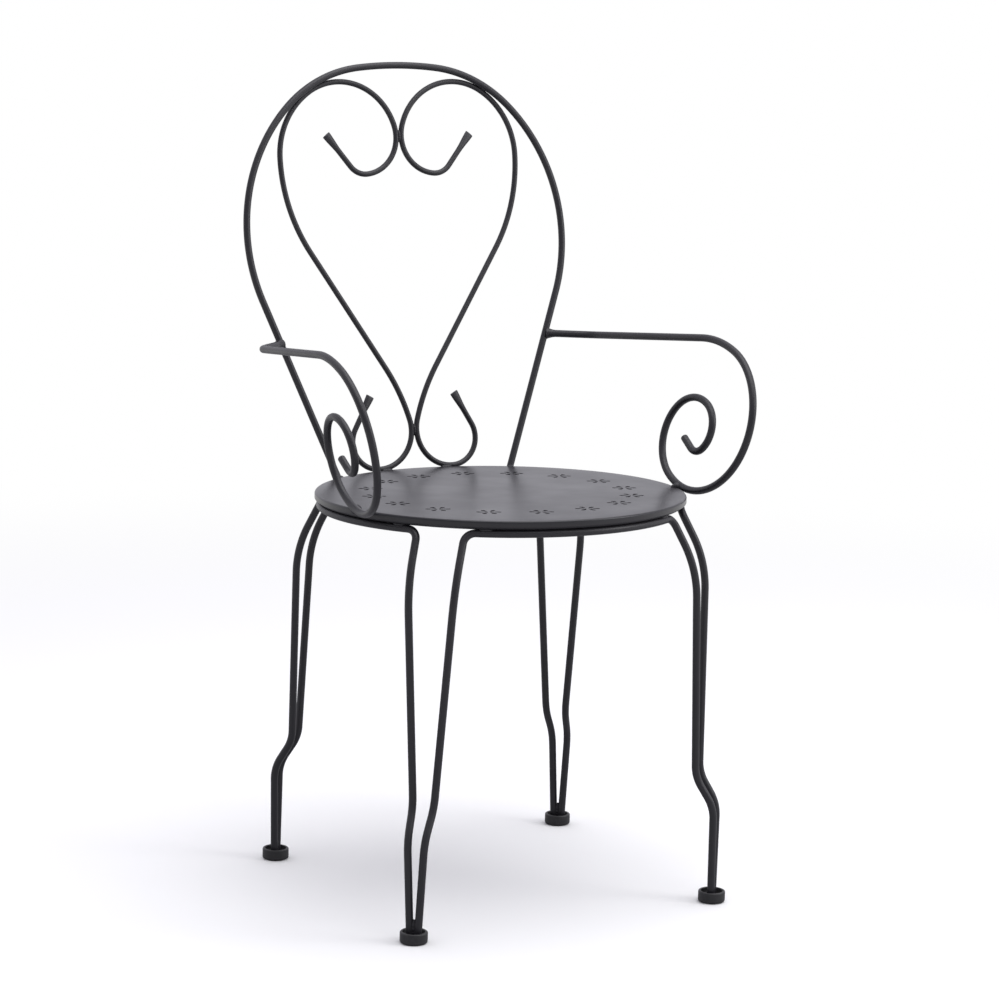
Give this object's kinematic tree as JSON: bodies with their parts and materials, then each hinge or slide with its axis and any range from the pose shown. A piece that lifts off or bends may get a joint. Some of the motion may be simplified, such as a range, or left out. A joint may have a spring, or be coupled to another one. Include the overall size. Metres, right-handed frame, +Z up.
{
  "type": "garden armchair",
  "caption": "Bent-rod metal garden armchair: flat round seat with flower cut-outs, hoop back with mirrored scrolls, curled armrests and U-shaped leg frames on capped feet",
  "frame": {"origin": "centre of the bounding box's footprint, on the ground that the feet stand on", "axes": "+Z up, -Y to the front of the chair, where the sitter faces, +X to the right as seen from the front"},
  "size_m": [0.5016, 0.4927, 0.914],
  "materials": {
    "powder_coated_steel": "matt black powder coat with a fine texture over steel rod and sheet",
    "foot_cap": "matt black moulded plastic"
  },
  "bodies": {
    "root": {"seat_sheet": "powder_coated_steel", "seat_ring": "powder_coated_steel", "back_hoop": "powder_coated_steel", "scroll_right": "powder_coated_steel", "scroll_left": "powder_coated_steel", "arm_right": "powder_coated_steel", "arm_left": "powder_coated_steel", "leg_frame_rear": "powder_coated_steel", "leg_frame_left": "powder_coated_steel", "leg_frame_front": "powder_coated_steel", "leg_frame_right": "powder_coated_steel", "foot_disc_front_left": "powder_coated_steel", "foot_disc_front_right": "powder_coated_steel", "foot_disc_rear_right": "powder_coated_steel", "foot_disc_rear_left": "powder_coated_steel", "foot_weld_front_left": "powder_coated_steel", "foot_weld_front_right": "powder_coated_steel", "foot_weld_rear_right": "powder_coated_steel", "foot_weld_rear_left": "powder_coated_steel", "weld_scroll_hoop": "powder_coated_steel", "weld_scrolls_upper": "powder_coated_steel", "weld_scrolls_lower": "powder_coated_steel", "weld_scroll_seat": "powder_coated_steel", "weld_hoop_seat": "powder_coated_steel", "weld_arm_seat": "powder_coated_steel", "weld_arm_hoop": "powder_coated_steel", "weld_leg_ring": "powder_coated_steel", "foot_cap_front_left": "foot_cap", "foot_cap_front_right": "foot_cap", "foot_cap_rear_right": "foot_cap", "foot_cap_rear_left": "foot_cap"}
  },
  "joints": []
}
